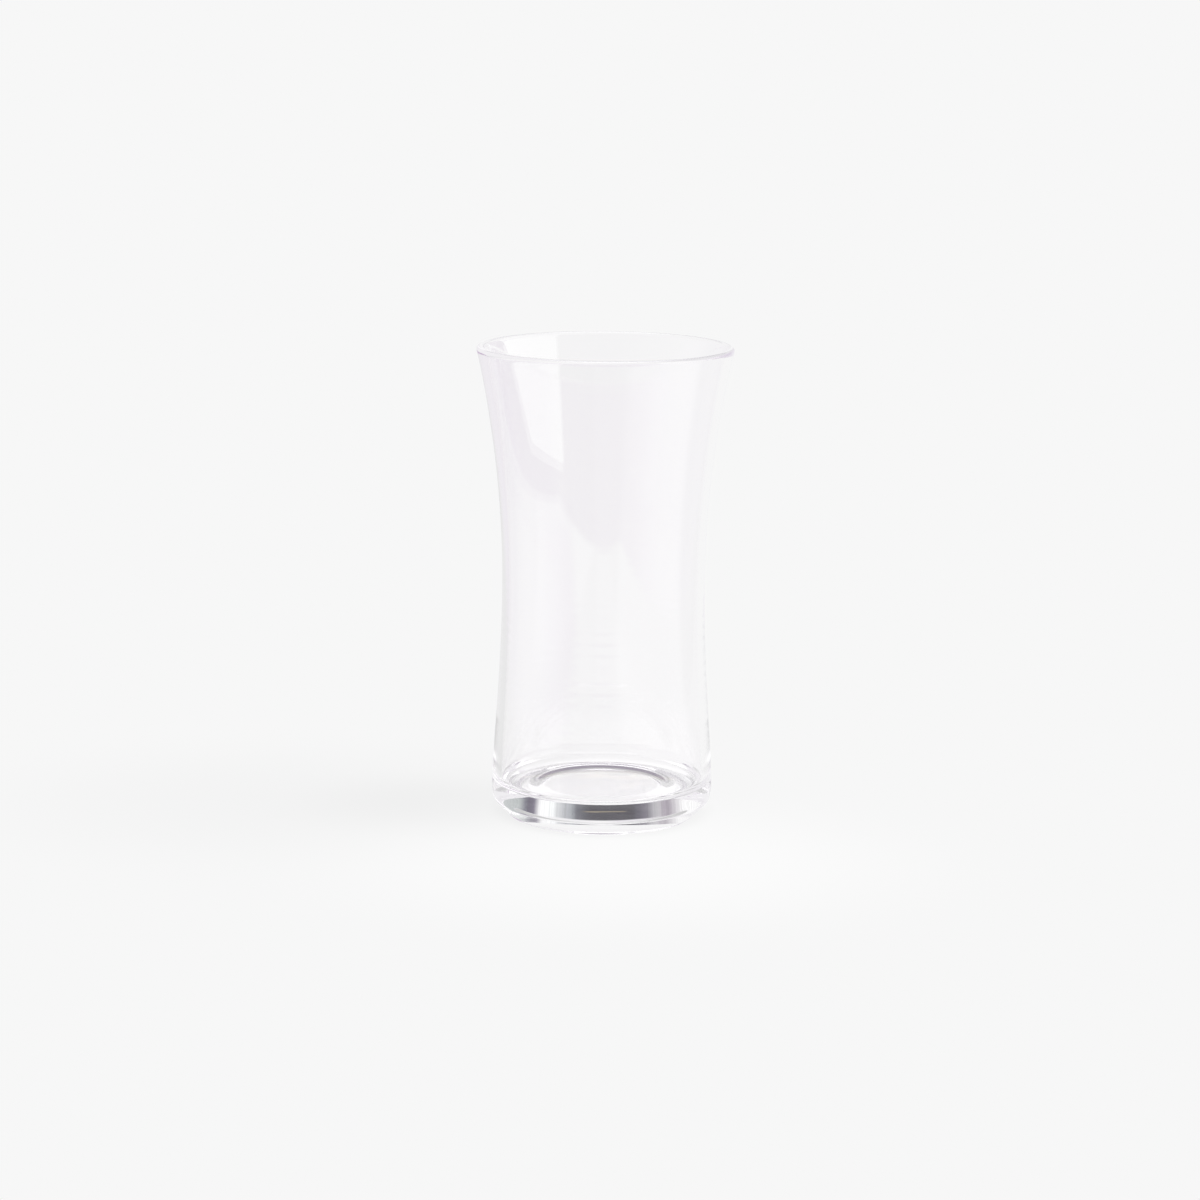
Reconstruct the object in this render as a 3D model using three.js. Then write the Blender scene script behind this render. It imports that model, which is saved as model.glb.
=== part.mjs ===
import * as THREE from 'three';

// Sake glass: a clear tumbler with a flared lip, a drawn-in waist and a thick base.
// Millimetres, +Z up. The origin is the centre of the ring that the glass stands on.

// Outside
const glassHeight = 110;
const lipDiameter = 59.2;
const lipFlareAngle = 12.5;
const waistDiameter = 47.1;
const waistHeight = 55;
const waistFullness = 20;
const baseDiameter = 51.6;
const baseFullness = 7;

// Thickness of the glass
const lipThickness = 1.75;
const waistWall = 1.5;
const footWall = 2.1;
const floorThickness = 7.4;
const insideCornerRadius = 2.3;

// Heel: the side draws in a little to a crease, and a slope runs in from there to the foot.
const creaseHeight = 3.5;
const creaseTuck = 0.35;
const sideFullness = 2.9;
const heelSlopeAngle = 43.5;
const footRounding = 1;

// Underside: a short wall runs up from the standing ring to a recess, and a soft step leads from there
// to a flat disc in the middle.
const standingRingWidth = 1.4;
const recessWallAngle = 60;
const recessDepth = 1.6;
const discDiameter = 25.8;
const discStep = 1;
const stepWidth = 4.9;
const stepRoundShare = 0.42;

// The bowl sits on the base on a flat ring, a little above the floor inside.
const jointRise = 0.3;

// Steps round the axis and along the curves of the outline
const turnSteps = 60;
const longCurveSteps = 7;
const lipSteps = 3;
const cornerSteps = 3;

const baseRadius = baseDiameter / 2;
const waistRadius = waistDiameter / 2;
const lipRadius = lipThickness / 2;
const lipCentreRadius = lipDiameter / 2 - lipRadius;
const lipCentreHeight = glassHeight - lipRadius;
const flare = THREE.MathUtils.degToRad(lipFlareAngle);
const jointHeight = floorThickness + jointRise;

const insideWaistRadius = waistRadius - waistWall;
const insideFootRadius = baseRadius - footWall;
const insideCornerHeight = floorThickness + insideCornerRadius;
const insideFloorRadius = insideFootRadius - insideCornerRadius;
const jointAngle = -Math.asin(1 - jointRise / insideCornerRadius);

const heelSlope = THREE.MathUtils.degToRad(heelSlopeAngle);
const creaseRadius = baseRadius - creaseTuck;
const heelEndHeight = footRounding * (1 - Math.sin(heelSlope));
const heelEndRadius = creaseRadius - (creaseHeight - heelEndHeight) * Math.tan(heelSlope);
const standingRadius = heelEndRadius - footRounding * Math.cos(heelSlope);
const standingInnerRadius = standingRadius - standingRingWidth;
const recessRadius = standingInnerRadius - recessDepth / Math.tan(THREE.MathUtils.degToRad(recessWallAngle));
const discRadius = discDiameter / 2;
const discHeight = recessDepth + discStep;
const stepRadius = discRadius + stepWidth;
const stepBend = stepRoundShare * stepWidth;

function at(radius, height) {
  return new THREE.Vector2(radius, height);
}

// Side curve between the foot and the waist, upright at both ends.
function flank(footRadius, footHeight, narrowRadius) {
  return new THREE.CubicBezierCurve(
    at(footRadius, footHeight),
    at(footRadius, footHeight + baseFullness),
    at(narrowRadius, waistHeight - waistFullness),
    at(narrowRadius, waistHeight),
  );
}

// Side curve from the waist up to the lip, which it meets at the flare angle.
function flaredNeck(narrowRadius, lipEnd) {
  const cornerHeight = lipEnd.y - (lipEnd.x - narrowRadius) / Math.tan(flare);
  return new THREE.QuadraticBezierCurve(
    at(narrowRadius, waistHeight),
    at(narrowRadius, cornerHeight),
    lipEnd,
  );
}

function roundCurve(centreRadius, centreHeight, radius, startAngle, endAngle) {
  const clockwise = endAngle < startAngle;
  return new THREE.EllipseCurve(centreRadius, centreHeight, radius, radius, startAngle, endAngle, clockwise);
}

function lipSide(angle) {
  return at(lipCentreRadius + lipRadius * Math.cos(angle), lipCentreHeight + lipRadius * Math.sin(angle));
}

function lipArc(startAngle, endAngle) {
  return roundCurve(lipCentreRadius, lipCentreHeight, lipRadius, startAngle, endAngle);
}

// Points along curves that follow on from each other, each shared end taken once.
function pointsAlong(curves) {
  const points = [];
  for (const { curve, steps, backwards } of curves) {
    const stretch = curve.getPoints(steps);
    if (backwards) stretch.reverse();
    const follows = points.length > 0 && points.at(-1).distanceTo(stretch[0]) < 1e-6;
    points.push(...stretch.slice(follows ? 1 : 0));
  }
  return points;
}

function straight(from, to) {
  return { curve: new THREE.LineCurve(from, to), steps: 1 };
}

function turned(name, outline, material) {
  const geometry = new THREE.LatheGeometry(outline, turnSteps);
  geometry.rotateX(Math.PI / 2);
  const mesh = new THREE.Mesh(geometry, material);
  mesh.name = name;
  return mesh;
}

const clearGlass = new THREE.MeshStandardMaterial({
  name: 'clear_glass',
  color: 0xf3f5f6,
  roughness: 0.04,
  metalness: 0,
  transparent: true,
  opacity: 0.35,
});

function insideCornerArc(startAngle, endAngle) {
  return roundCurve(insideFloorRadius, insideCornerHeight, insideCornerRadius, startAngle, endAngle);
}

const insideCorner = insideCornerArc(0, jointAngle);
const floorCurve = insideCornerArc(jointAngle, -Math.PI / 2);
const jointInside = insideCorner.getPoint(1);
const jointOutside = at(baseRadius, jointHeight);

// Wall of the glass: up the outside, over the lip and down the inside to the joint.
function makeBowl() {
  const insideNeck = flaredNeck(insideWaistRadius, lipSide(Math.PI - flare));
  const insideFlank = flank(insideFootRadius, insideCornerHeight, insideWaistRadius);
  const outline = pointsAlong([
    { curve: flank(baseRadius, jointHeight, waistRadius), steps: longCurveSteps },
    { curve: flaredNeck(waistRadius, lipSide(-flare)), steps: longCurveSteps },
    { curve: lipArc(-flare, Math.PI / 2), steps: lipSteps },
    { curve: lipArc(Math.PI / 2, Math.PI - flare), steps: lipSteps },
    { curve: insideNeck, steps: longCurveSteps, backwards: true },
    { curve: insideFlank, steps: longCurveSteps, backwards: true },
    { curve: insideCorner, steps: cornerSteps },
    straight(jointInside, jointOutside),
  ]);
  return turned('bowl', outline, clearGlass);
}

// Thick bottom: disc, step, recess, standing ring, foot, heel and side, then the joint and the floor inside.
function makeBase() {
  const heelEnd = at(heelEndRadius, heelEndHeight);
  const crease = at(creaseRadius, creaseHeight);
  const step = new THREE.CubicBezierCurve(
    at(discRadius, discHeight),
    at(discRadius + stepBend, discHeight),
    at(stepRadius - stepBend, recessDepth),
    at(stepRadius, recessDepth),
  );
  const knee = at(baseRadius, jointHeight - sideFullness);
  const side = new THREE.QuadraticBezierCurve(crease, knee, jointOutside);
  const foot = roundCurve(standingRadius, footRounding, footRounding, -Math.PI / 2, -heelSlope);
  const outline = pointsAlong([
    straight(at(0, discHeight), at(discRadius, discHeight)),
    { curve: step, steps: cornerSteps },
    straight(at(stepRadius, recessDepth), at(recessRadius, recessDepth)),
    straight(at(recessRadius, recessDepth), at(standingInnerRadius, 0)),
    straight(at(standingInnerRadius, 0), at(standingRadius, 0)),
    { curve: foot, steps: cornerSteps },
    straight(heelEnd, crease),
    { curve: side, steps: cornerSteps },
    straight(jointOutside, jointInside),
    { curve: floorCurve, steps: cornerSteps },
    straight(at(insideFloorRadius, floorThickness), at(0, floorThickness)),
  ]);
  return turned('base', outline, clearGlass);
}

const sakeGlass = new THREE.Group();
sakeGlass.name = 'sake_glass';
sakeGlass.add(makeBase(), makeBowl());

export default sakeGlass;
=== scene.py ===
from math import atan2, cos, pi, radians, sin, tan

import bmesh
import bpy
from mathutils import Matrix, Vector
from mathutils.geometry import interpolate_bezier


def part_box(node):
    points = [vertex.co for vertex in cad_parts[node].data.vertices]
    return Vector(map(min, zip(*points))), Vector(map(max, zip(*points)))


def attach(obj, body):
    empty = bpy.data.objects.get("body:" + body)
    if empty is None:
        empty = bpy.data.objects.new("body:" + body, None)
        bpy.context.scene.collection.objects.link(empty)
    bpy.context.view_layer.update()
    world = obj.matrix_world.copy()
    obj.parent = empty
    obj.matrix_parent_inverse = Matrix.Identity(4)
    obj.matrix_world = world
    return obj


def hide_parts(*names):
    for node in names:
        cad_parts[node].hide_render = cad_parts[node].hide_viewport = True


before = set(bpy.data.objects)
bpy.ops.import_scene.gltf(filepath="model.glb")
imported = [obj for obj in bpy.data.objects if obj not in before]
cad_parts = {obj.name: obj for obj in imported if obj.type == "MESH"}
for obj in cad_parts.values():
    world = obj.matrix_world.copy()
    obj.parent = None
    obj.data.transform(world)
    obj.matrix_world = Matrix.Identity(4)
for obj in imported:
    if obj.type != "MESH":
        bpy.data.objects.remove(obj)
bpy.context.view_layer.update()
bowlLow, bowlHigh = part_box("bowl")
baseLow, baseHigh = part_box("base")
mm = 0.001
scene = bpy.context.scene
print("frame loaded, glass is %.1f mm tall" % ((bowlHigh.z - baseLow.z) / mm))


# Node helpers: a socket that does sums, and a desk that adds nodes

class Wire:
    def __init__(self, desk, socket):
        self.desk = desk
        self.socket = socket

    def sums(self, operation, other, flipped=False):
        first, second = (other, self) if flipped else (self, other)
        return self.desk.wire("ShaderNodeMath", 0, {"operation": operation}, {0: first, 1: second})

    def __add__(self, other):
        return self.sums("ADD", other)

    def __radd__(self, other):
        return self.sums("ADD", other, flipped=True)

    def __sub__(self, other):
        return self.sums("SUBTRACT", other)

    def __rsub__(self, other):
        return self.sums("SUBTRACT", other, flipped=True)

    def __mul__(self, other):
        return self.sums("MULTIPLY", other)

    def __rmul__(self, other):
        return self.sums("MULTIPLY", other, flipped=True)

    def __gt__(self, other):
        return self.sums("GREATER_THAN", other)

    def __abs__(self):
        return self.sums("ABSOLUTE", 0.0)

    def climb(self, ends, top=1.0):
        # nothing at the first end, the top at the second, eased in between
        return self.desk.wire("ShaderNodeMapRange", "Result", {"interpolation_type": self.desk.easing}, {
            "Value": self, "From Min": ends[0], "From Max": ends[1], "To Max": top})


class NodeDesk:
    def __init__(self, tree, easing="SMOOTHERSTEP"):
        self.tree = tree
        self.easing = easing
        tree.nodes.clear()

    def add(self, kind, settings=None, sockets=None):
        node = self.tree.nodes.new(kind)
        for name, value in (settings or {}).items():
            if name == "stops":
                ramp = node.color_ramp
                while len(ramp.elements) < len(value):
                    ramp.elements.new(0.5)
                for element, (position, colour) in zip(ramp.elements, value):
                    element.position = position
                    element.color = colour
            else:
                setattr(node, name, value)
        for name, value in (sockets or {}).items():
            if isinstance(value, Wire):
                self.tree.links.new(value.socket, node.inputs[name])
            else:
                node.inputs[name].default_value = value
        return node

    def wires(self, kind, outputs, settings=None, sockets=None):
        node = self.add(kind, settings, sockets)
        return [Wire(self, node.outputs[output]) for output in outputs]

    def wire(self, kind, output, settings=None, sockets=None):
        return self.wires(kind, [output], settings, sockets)[0]


def newMaterial(name):
    material = bpy.data.materials.new(name)
    material.use_nodes = True
    return material, NodeDesk(material.node_tree)


def finishMesh(name, mesh, material):
    made = bpy.data.objects.new(name, bpy.data.meshes.new(name))
    mesh.to_mesh(made.data)
    mesh.free()
    made.data.materials.append(material)
    scene.collection.objects.link(made)
    return made


# Camera, as the photograph was taken: from in front, a little above the lip

cameraSet = {
    "distance": 0.706,
    "height": 0.1958,
    "pitch": 11.63,
    "roll": 0.53,
    "aimLeft": 0.063,
    "lens": 92.85,
    "sensor": 36,
    "bounces": 48,
}


def placeCamera():
    camera = bpy.data.objects.new("camera", bpy.data.cameras.new("camera"))
    camera.data.lens = cameraSet["lens"]
    camera.data.sensor_width = cameraSet["sensor"]
    stand = Matrix.Translation((0, -cameraSet["distance"], cameraSet["height"]))
    turn = Matrix.Rotation(radians(cameraSet["aimLeft"]), 4, "Z")
    tilt = Matrix.Rotation(radians(90 - cameraSet["pitch"]), 4, "X")
    roll = Matrix.Rotation(radians(cameraSet["roll"]), 4, "Z")
    camera.matrix_world = stand @ turn @ tilt @ roll
    scene.collection.objects.link(camera)
    scene.camera = camera
    scene.view_settings.view_transform = "Standard"
    for name in ("max_bounces", "glossy_bounces", "transmission_bounces"):
        setattr(scene.cycles, name, cameraSet["bounces"])  # light runs a long way inside the rim
    print("camera set")


placeCamera()


# The glass: one outline turned round the axis, in millimetres and degrees

glassSet = {
    "lipThickness": 1.75,
    "flareAngle": 12.5,
    "waistRadius": 23.55,
    "waistHeight": 55,
    "waistFullness": 20,
    "baseFullness": 7,
    "waistWall": 1.5,
    "footWall": 2.1,
    "floorHeight": 7.4,
    "cornerRadius": 2.3,
    "creaseTuck": 0.35,
    "creaseHeight": 3.5,
    "creaseRounding": 0.4,
    "sideFullness": 2.9,
    "heelSlope": 43.5,
    "footRounding": 1.0,
    "discRadius": 12.9,
    "discHeight": 2.6,
    "stepRadius": 17.8,
    "stepBend": 0.42,
    "recessRadius": 19.38,
    "recessDepth": 1.6,
    "recessWall": 60,
    "recessRounding": 0.4,
    "edgeStep": 0.15,
    "joinWithin": 0.0001,
    "turnSteps": 128,
    "longSteps": 40,
    "waveSteps": 240,
    "shortSteps": 16,
    "waves": [(2.3, 0.003), (2.9, 0.004)],
    "waveEnds": (14, 24, 48, 64),
    "tint": (0.998, 0.994, 0.999, 1),
    "shadowTint": (0.985, 0.98, 0.988, 1),
    "refraction": 1.52,
    "rippleScale": (90, 90, 40),
    "rippleDepth": 0.02,
    "leakDepth": 8,
}


def spot(radius, height):
    return Vector((radius, height, 0))


def bezier(start, startHandle, endHandle, end, steps):
    return interpolate_bezier(start, startHandle, endHandle, end, steps + 1)


def bentOnce(start, bend, end, steps):
    # curve towards one bend point, which gives both handles
    return bezier(start, start.lerp(bend, 2 / 3), end.lerp(bend, 2 / 3), end, steps)


def arc(centre, radius, startAngle, endAngle):
    points = []
    for i in range(glassSet["shortSteps"] + 1):
        angle = startAngle + (endAngle - startAngle) * i / glassSet["shortSteps"]
        points.append(centre + spot(radius * cos(angle), radius * sin(angle)))
    return points


def straight(start, end):
    # a short step in from each end keeps the smooth shading flat in between
    step = (end - start).normalized() * glassSet["edgeStep"]
    return [start, start + step, end - step, end]


def roundCorner(before, point, after, rounding):
    # arc that rounds the corner between two straight stretches
    steps = glassSet["shortSteps"]
    inward = (before - point).normalized()
    outward = (after - point).normalized()
    half = inward.angle(outward) / 2
    start = point + inward * (rounding / tan(half))
    middle = point + (inward + outward).normalized() * (rounding / sin(half))
    sweep = (pi - 2 * half) * (1 if inward.cross(outward).z < 0 else -1)
    return [middle + Matrix.Rotation(sweep * i / steps, 3, "Z") @ (start - middle) for i in range(steps + 1)]


def undersideStretches():
    # a flat disc, a soft step down from it, and the recess with its wall
    form = glassSet
    disc = spot(form["discRadius"], form["discHeight"])
    stepEnd = spot(form["stepRadius"], form["recessDepth"])
    bend = spot(form["stepBend"] * (form["stepRadius"] - form["discRadius"]), 0)
    wallTop = spot(form["recessRadius"], form["recessDepth"])
    wallFoot = spot(form["recessRadius"] + form["recessDepth"] / tan(radians(form["recessWall"])), 0)
    ringPoint = wallFoot + spot(1, 0)
    upperBend = roundCorner(stepEnd, wallTop, wallFoot, form["recessRounding"])
    lowerBend = roundCorner(wallTop, wallFoot, ringPoint, form["recessRounding"])
    return [
        straight(spot(0, form["discHeight"]), disc),
        bezier(disc, disc + bend, stepEnd - bend, stepEnd, form["longSteps"]),
        straight(stepEnd, upperBend[0]),
        upperBend,
        straight(upperBend[-1], lowerBend[0]),
        lowerBend,
    ]


def heelStretches(ringStart, sideTop):
    # the standing ring, the foot, the slope up to the crease, and the low side above it
    form = glassSet
    slope = radians(form["heelSlope"])
    crease = spot(sideTop.x - form["creaseTuck"], form["creaseHeight"])
    knee = sideTop - spot(0, form["sideFullness"])
    lean = atan2(knee.x - crease.x, knee.y - crease.y)
    trim = form["creaseRounding"] * tan((slope - lean) / 2)
    sideEnd = crease + spot(sin(lean), cos(lean)) * trim
    creaseCentre = sideEnd - spot(cos(lean), -sin(lean)) * form["creaseRounding"]
    creaseArc = arc(creaseCentre, form["creaseRounding"], -slope, -lean)
    heelTop = creaseArc[0]
    heelEnd = form["footRounding"] * (1 - sin(slope))
    footRadius = heelTop.x - (heelTop.y - heelEnd) * tan(slope) - form["footRounding"] * cos(slope)
    footArc = arc(spot(footRadius, form["footRounding"]), form["footRounding"], -pi / 2, -slope)
    return [
        straight(ringStart, footArc[0]),
        footArc,
        straight(footArc[-1], heelTop),
        creaseArc,
        bentOnce(sideEnd, knee, sideTop, form["shortSteps"]),
    ]


def flank(foot, waist, steps):
    # side from the foot up to the waist, upright at both ends
    rise = spot(0, glassSet["baseFullness"])
    drop = spot(0, glassSet["waistFullness"])
    return bezier(foot, foot + rise, waist - drop, waist, steps)


def neck(waist, lipPoint, steps):
    # side from the waist up to the lip, which it meets at the flare angle
    flare = radians(glassSet["flareAngle"])
    bend = spot(waist.x, lipPoint.y - (lipPoint.x - waist.x) / tan(flare))
    return bentOnce(waist, bend, lipPoint, steps)


def ringWaves(points):
    # faint rings that blowing left round the lower wall, fading out at both ends
    low, lowFull, highFull, high = glassSet["waveEnds"]
    waved = []
    for point in points:
        share = min(1, max(0, min((point.y - low) / (lowFull - low), (high - point.y) / (high - highFull))))
        swell = sum(depth * sin(2 * pi * point.y / pitch) for pitch, depth in glassSet["waves"])
        waved.append(point + spot(share * swell, 0))
    return waved


def glassOutline():
    form = glassSet
    flare = radians(form["flareAngle"])
    lipHalf = form["lipThickness"] / 2
    lip = arc(spot(bowlHigh.x / mm - lipHalf, bowlHigh.z / mm - lipHalf), lipHalf, -flare, pi - flare)
    sideTop = spot(baseHigh.x / mm, bowlLow.z / mm)
    waist = spot(form["waistRadius"], form["waistHeight"])
    innerWaist = waist - spot(form["waistWall"], 0)
    floorEdge = spot(sideTop.x - form["footWall"] - form["cornerRadius"], form["floorHeight"])
    innerCorner = arc(floorEdge + spot(0, form["cornerRadius"]), form["cornerRadius"], 0, -pi / 2)
    underside = undersideStretches()
    stretches = [
        *underside,
        *heelStretches(underside[-1][-1], sideTop),
        ringWaves(flank(sideTop, waist, form["waveSteps"])),
        ringWaves(neck(waist, lip[0], form["waveSteps"])),
        lip,
        neck(innerWaist, lip[-1], form["longSteps"])[::-1],
        flank(innerCorner[0], innerWaist, form["longSteps"])[::-1],
        innerCorner,
        straight(floorEdge, spot(0, form["floorHeight"])),
    ]
    points = [stretches[0][0]]
    for stretch in stretches:
        for point in stretch:
            if (point - points[-1]).length > form["joinWithin"]:
                points.append(point)
    return points


def clearGlass():
    material, desk = newMaterial("clearGlass")
    place = desk.wire("ShaderNodeTexCoord", "Object")
    stretched = desk.wire("ShaderNodeMapping", "Vector", sockets={
        "Vector": place, "Scale": glassSet["rippleScale"]})
    ripple = desk.wire("ShaderNodeTexNoise", "Fac", sockets={
        "Vector": stretched, "Scale": 1.0, "Detail": 1.0})
    bump = desk.wire("ShaderNodeBump", "Normal", sockets={
        "Height": ripple, "Distance": glassSet["rippleDepth"] * mm, "Strength": 1.0})
    shine = desk.wire("ShaderNodeBsdfPrincipled", 0, sockets={
        "Base Color": glassSet["tint"], "Roughness": 0.0, "IOR": glassSet["refraction"],
        "Transmission Weight": 1.0, "Normal": bump})
    clear = desk.wire("ShaderNodeBsdfTransparent", 0, sockets={"Color": glassSet["shadowTint"]})
    isShadow, rayDepth = desk.wires("ShaderNodeLightPath", ["Is Shadow Ray", "Ray Depth"])
    trapped = rayDepth > glassSet["leakDepth"]  # light caught in the glass leaks out again
    mixed = desk.wire("ShaderNodeMixShader", 0, sockets={0: isShadow + trapped, 1: shine, 2: clear})
    desk.add("ShaderNodeOutputMaterial", sockets={"Surface": mixed})
    return material


def turnOutline(points):
    mesh = bmesh.new()
    verts = [mesh.verts.new((point.x * mm, 0, point.y * mm)) for point in points]
    for pair in zip(verts, verts[1:]):
        mesh.edges.new(pair)
    bmesh.ops.spin(mesh, geom=mesh.verts[:] + mesh.edges[:], cent=(0, 0, 0), axis=(0, 0, 1), dvec=(0, 0, 0),
                   angle=2 * pi, steps=glassSet["turnSteps"], use_merge=True, use_duplicate=False)
    bmesh.ops.remove_doubles(mesh, verts=mesh.verts[:], dist=glassSet["joinWithin"] * mm)
    bmesh.ops.recalc_face_normals(mesh, faces=mesh.faces[:])
    for face in mesh.faces:
        face.smooth = True
    return mesh


def makeGlass():
    glass = finishMesh("sakeGlass", turnOutline(glassOutline()), clearGlass())
    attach(glass, "root")
    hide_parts("bowl", "base")
    print("glass turned,", len(glass.data.polygons), "faces")


makeGlass()


# Stage: a pale floor that fades into the background, and a room for the glass to bend and mirror

paleTone = 0.93

floorSet = {
    "radius": 40,
    "sides": 96,
    "drop": 0.00015,
    "frontEdge": (-0.27, -0.40),
    "frontSlant": 0.4,
    "leftEdge": (-0.12, -0.18),
    "rightEdge": (1.1, 1.4),
    # painted light under the glass and in a ring behind its foot
    "underPaintedGlow": 1.5,
    "underReach": (0.0205, 0.019),
    "underBack": (-0.018, 0.002),
    "ringReach": (0.0265, 0.0215),
    "ringBack": (0.0, 0.008),
    "ringPaintedLight": 0.22,
    # painted shade and painted light in what the glass mirrors of the floor
    "leftShade": (-0.030, -0.046),
    "leftPaintedShadeDepth": 0.13,
    "rightFrom": (0.05, 0.10),
    "rightBack": (0.05, 0.0),
    "rightPaintedLight": 0.28,
    "nearReach": (0.050, 0.040),
    "nearBack": (0.016, 0.021),
    "nearPaintedShadeDepth": 0.36,
    # painted light and shade for what the glass bends on to the floor: painted shades at its left and under
    # it, a painted glow in front
    "paintedPatches": [
        {"at": (-0.037, 0.005), "reach": (0.055, 0.040), "core": 0, "lift": -0.040},
        {"at": (-0.075, 0.006), "reach": (0.110, 0.080), "core": 0, "lift": -0.030},
        {"at": (0.006, -0.042), "reach": (0.100, 0.075), "core": 0, "lift": 0.045},
        {"at": (0, 0.001), "reach": (0.0285, 0.0285), "core": 0.72, "lift": -0.06},
    ],
}


def paintedPatchLight(desk, place):
    light = 1.0
    # each patch adds painted light or painted shade to the floor's tone
    for patch in floorSet["paintedPatches"]:
        moved = desk.wire("ShaderNodeVectorMath", "Vector", {"operation": "SUBTRACT"}, {
            0: place, 1: (*patch["at"], 0)})
        scaled = desk.wire("ShaderNodeVectorMath", "Vector", {"operation": "DIVIDE"}, {
            0: moved, 1: (*patch["reach"], 1)})
        away = desk.wire("ShaderNodeVectorMath", "Value", {"operation": "LENGTH"}, {0: scaled})
        light = away.climb((1.0, patch["core"]), patch["lift"]) + light
    return light


def paleFloor():
    material, desk = newMaterial("paleFloor")
    place = desk.wire("ShaderNodeTexCoord", "Object")
    aside, back = desk.wires("ShaderNodeSeparateXYZ", "XY", sockets={"Vector": place})
    reach = desk.wire("ShaderNodeVectorMath", "Value", {"operation": "LENGTH"}, {0: place})
    isCamera, mirrored = desk.wires("ShaderNodeLightPath", ["Is Camera Ray", "Glossy Depth"])

    # painted light under the glass, and a painted lighter ring behind it round its foot
    disc = reach.climb(floorSet["underReach"])
    under = disc * back.climb(floorSet["underBack"])
    ring = (reach.climb(floorSet["ringReach"]) - disc) * back.climb(floorSet["ringBack"])
    light = paintedPatchLight(desk, place) * (1 - under)
    light = light + under * floorSet["underPaintedGlow"] + ring * floorSet["ringPaintedLight"]

    # painted shade makes what the glass mirrors of the floor darker at its left and close behind it, and
    # painted light makes it brighter at its right
    bright = aside.climb(floorSet["rightFrom"], floorSet["rightPaintedLight"]) * back.climb(floorSet["rightBack"])
    besidePaintedShade = aside.climb(floorSet["leftShade"], floorSet["leftPaintedShadeDepth"]) - bright
    nearbyPaintedShade = reach.climb(floorSet["nearReach"], floorSet["nearPaintedShadeDepth"]) * back.climb(floorSet["nearBack"])
    light = light * (1 - besidePaintedShade * (mirrored > 0)) * (1 - nearbyPaintedShade * (mirrored > 1))
    lit = desk.wire("ShaderNodeEmission", 0, sockets={"Color": light * paleTone, "Strength": 1.0})

    # the camera sees the whole floor, and the glass sees it end at the front, the left and the right
    front = (back + abs(aside) * floorSet["frontSlant"]).climb(floorSet["frontEdge"])
    left = aside.climb(floorSet["leftEdge"])
    right = aside.climb(floorSet["rightEdge"])
    kept = (1 - front) * (1 - left) * (1 - right)
    gone = desk.wire("ShaderNodeBsdfTransparent", 0)
    mixed = desk.wire("ShaderNodeMixShader", 0, sockets={0: isCamera + kept, 1: gone, 2: lit})
    desk.add("ShaderNodeOutputMaterial", sockets={"Surface": mixed})
    return material


def makeFloor():
    mesh = bmesh.new()
    bmesh.ops.create_circle(mesh, cap_ends=True, segments=floorSet["sides"], radius=floorSet["radius"],
                            matrix=Matrix.Translation((0, 0, -floorSet["drop"])))
    floor = finishMesh("floor", mesh, paleFloor())
    print("floor laid")


makeFloor()


# The room: edges between its tones are rises of the line of sight, and its tones go round by degrees
# from straight behind the glass towards the right

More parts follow.
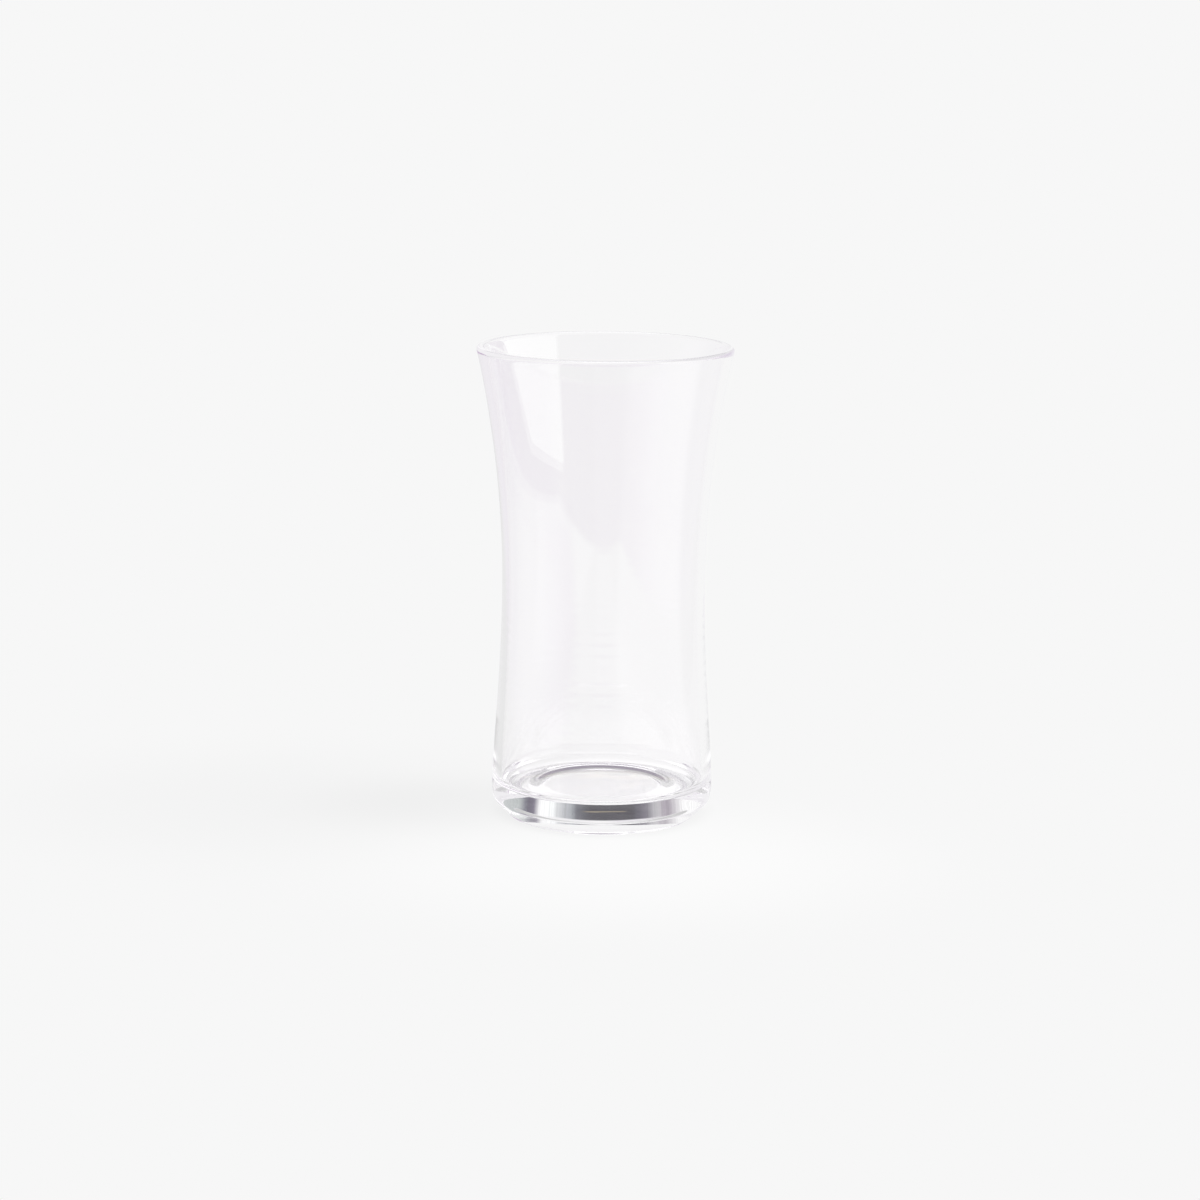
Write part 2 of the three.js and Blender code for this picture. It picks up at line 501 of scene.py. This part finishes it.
roomSet = {
    "ambient": (0.865, 0.865, 0.865, 1),
    "ceiling": (0.90, 0.89, 0.91, 1),
    "sweepTop": (0.195, 0.210),
    "steepFrom": (-0.27, -0.35),
    "wallTop": (0.32, 0.38),
    "highTop": (0.70, 0.78),
    "stripes": 420,
    "stripeDark": 0.7,
    "stripeSpan": 0.6,
    "streakTone": (0.36, 0.31, 0.23, 1),
    "streakRise": (0.2515, 0.2585),
    "streakSide": (-0.17, 0.13),
    "streakFade": 0.05,
    # what stands above the sweep
    "wall": [
        (-180, (0.42, 0.40, 0.45, 1)), (-95, (0.90, 0.90, 0.90, 1)), (-38, (1.0, 1.0, 1.0, 1)),
        (-28, (0.38, 0.34, 0.39, 1)), (-25, (0.42, 0.38, 0.43, 1)), (-22, (0.56, 0.55, 0.57, 1)),
        (-17, (0.20, 0.185, 0.225, 1)), (-12.6, (0.10, 0.095, 0.12, 1)), (-12.3, (0.30, 0.28, 0.32, 1)),
        (-12.0, (0.065, 0.06, 0.075, 1)), (4, (0.065, 0.06, 0.075, 1)), (8.5, (0.15, 0.15, 0.175, 1)),
        (11.2, (0.36, 0.38, 0.41, 1)), (11.6, (0.85, 0.85, 0.85, 1)), (12.0, (0.42, 0.43, 0.46, 1)),
        (16, (0.64, 0.65, 0.67, 1)), (19, (1.0, 1.02, 1.02, 1)), (24.5, (1.04, 1.04, 1.04, 1)),
        (28, (0.20, 0.18, 0.24, 1)), (31, (0.12, 0.105, 0.15, 1)), (34, (0.20, 0.20, 0.24, 1)),
        (38, (0.50, 0.53, 0.53, 1)), (110, (0.55, 0.57, 0.56, 1)), (180, (0.42, 0.40, 0.45, 1)),
    ],
    # what hangs above that wall
    "high": [
        (-180, (0.86, 0.85, 0.87, 1)), (-30, (0.86, 0.85, 0.87, 1)), (-19, (0.36, 0.32, 0.39, 1)),
        (19, (0.36, 0.32, 0.39, 1)), (30, (0.86, 0.85, 0.87, 1)),
    ],
    # what is seen below the sweep's edge
    "low": [
        (-180, (0.93, 0.93, 0.93, 1)), (27, (0.93, 0.93, 0.93, 1)), (30, (0.50, 0.53, 0.51, 1)),
        (110, (0.55, 0.57, 0.56, 1)), (130, (0.93, 0.93, 0.93, 1)),
    ],
    # what the glass mirrors from there, past the ends of the floor
    "mirror": [
        (-180, (0.41, 0.24, 0.46, 1)), (-150, (0.41, 0.24, 0.46, 1)), (-138, (0.54, 0.38, 0.60, 1)),
        (-124, (0.78, 0.67, 0.84, 1)), (-106, (0.94, 0.90, 0.97, 1)), (-85, (0.98, 0.95, 1.0, 1)),
        (-60, (0.80, 0.77, 0.83, 1)), (-44, (0.85, 0.82, 0.86, 1)), (-26, (0.87, 0.85, 0.88, 1)),
        (-6, (0.82, 0.80, 0.84, 1)), (-1.5, (0.93, 0.93, 0.93, 1)), (1.5, (0.93, 0.93, 0.93, 1)),
        (8, (0.88, 0.87, 0.89, 1)), (24, (0.90, 0.89, 0.91, 1)), (34, (0.60, 0.50, 0.64, 1)),
        (46, (0.43, 0.28, 0.48, 1)), (180, (0.41, 0.24, 0.46, 1)),
    ],
    # what it mirrors from further below, past the floor's left end
    "steep": [
        (-180, (0.93, 0.93, 0.93, 1)), (-130, (0.93, 0.93, 0.93, 1)), (-118, (0.78, 0.74, 0.81, 1)),
        (-30, (0.78, 0.74, 0.81, 1)), (-20, (0.93, 0.93, 0.93, 1)),
    ],
}


def makeRoom():
    world = bpy.data.worlds.new("studio")
    world.use_nodes = True
    scene.world = world
    desk = NodeDesk(world.node_tree, easing="SMOOTHSTEP")
    isCamera, isGlossy, isThrough, mirrored, inside = desk.wires("ShaderNodeLightPath", [
        "Is Camera Ray", "Is Glossy Ray", "Is Transmission Ray", "Glossy Depth", "Transmission Depth"])
    way = desk.wire("ShaderNodeTexCoord", "Generated")
    side, depth, rise = desk.wires("ShaderNodeSeparateXYZ", "XYZ", sockets={"Vector": way})
    bearing = side.sums("ARCTAN2", depth) * (0.5 / pi) + 0.5

    def blend(share, first, second):
        # by number, because the Mix node's colour sockets share their names with others
        return desk.wire("ShaderNodeMix", 2, {"data_type": "RGBA", "clamp_factor": True}, {
            0: share, 6: first, 7: second})

    def allRound(name):
        stops = [(degrees / 360 + 0.5, tone) for degrees, tone in roomSet[name]]
        return desk.wire("ShaderNodeValToRGB", "Color", {"stops": stops}, {"Fac": bearing})

    def streak():
        # a thin warm line behind the glass
        low, high = roomSet["streakRise"]
        left, right = roomSet["streakSide"]
        middle = (low + high) / 2
        fade = roomSet["streakFade"]
        across = side.climb((left, left + fade)) * side.climb((right, right - fade))
        return across * rise.climb((low, middle)) * rise.climb((high, middle))

    fine = desk.wire("ShaderNodeTexNoise", "Fac", {"noise_dimensions": "1D"}, {
        "W": bearing, "Scale": roomSet["stripes"], "Detail": 2.0})
    wall = desk.wire("ShaderNodeVectorMath", "Vector", {"operation": "SCALE"}, {
        0: allRound("wall"), "Scale": roomSet["stripeDark"] + fine * roomSet["stripeSpan"]})
    wall = blend(streak(), wall, roomSet["streakTone"])
    wall = blend(inside, roomSet["ceiling"], wall)  # the outside of the lip mirrors no dark wall
    deep = blend(rise.climb(roomSet["steepFrom"]), allRound("mirror"), allRound("steep"))
    low = blend(mirrored, allRound("low"), deep)
    high = blend(rise.climb(roomSet["highTop"]), allRound("high"), roomSet["ceiling"])
    upper = blend(rise.climb(roomSet["wallTop"]), wall, high)
    room = blend(rise.climb(roomSet["sweepTop"]), low, upper)
    seen = blend(isCamera, room, (paleTone, paleTone, paleTone, 1))
    tone = blend(isCamera + isGlossy + isThrough, roomSet["ambient"], seen)
    sky = desk.wire("ShaderNodeBackground", 0, sockets={"Color": tone, "Strength": 1.0})
    desk.add("ShaderNodeOutputWorld", sockets={"Surface": sky})
    print("room lit")


makeRoom()


# The softbox at the right, by place along it and height, and a lamp overhead

softboxSet = {
    "aside": 0.70,
    "corners": [(-0.60, 0.10), (-0.60, 0.85), (0.52, 0.85), (0.52, 0.27), (0.06, 0.10)],
    "tone": (1.55, 1.55, 1.55, 1),
}


def makeSoftbox():
    material, desk = newMaterial("softboxCloth")
    lit = desk.wire("ShaderNodeEmission", 0, sockets={"Color": softboxSet["tone"], "Strength": 1.0})
    desk.add("ShaderNodeOutputMaterial", sockets={"Surface": lit})
    mesh = bmesh.new()
    aside = softboxSet["aside"]
    mesh.faces.new([mesh.verts.new((aside, along, up)) for along, up in softboxSet["corners"]])
    softbox = finishMesh("softbox", mesh, material)
    softbox.visible_camera = False


lampSet = {
    "at": (0, 0.15, 1.3),
    "size": (1.0, 1.0),
    "glow": 1.0,
}


def makeLamp():
    lamp = bpy.data.lights.new("overhead", "AREA")
    lamp.shape = "RECTANGLE"
    lamp.size, lamp.size_y = lampSet["size"]
    lamp.energy = lampSet["glow"] * pi * lamp.size * lamp.size_y
    overhead = bpy.data.objects.new("overhead", lamp)
    overhead.location = lampSet["at"]
    scene.collection.objects.link(overhead)


makeSoftbox()
makeLamp()
print("lamps placed")
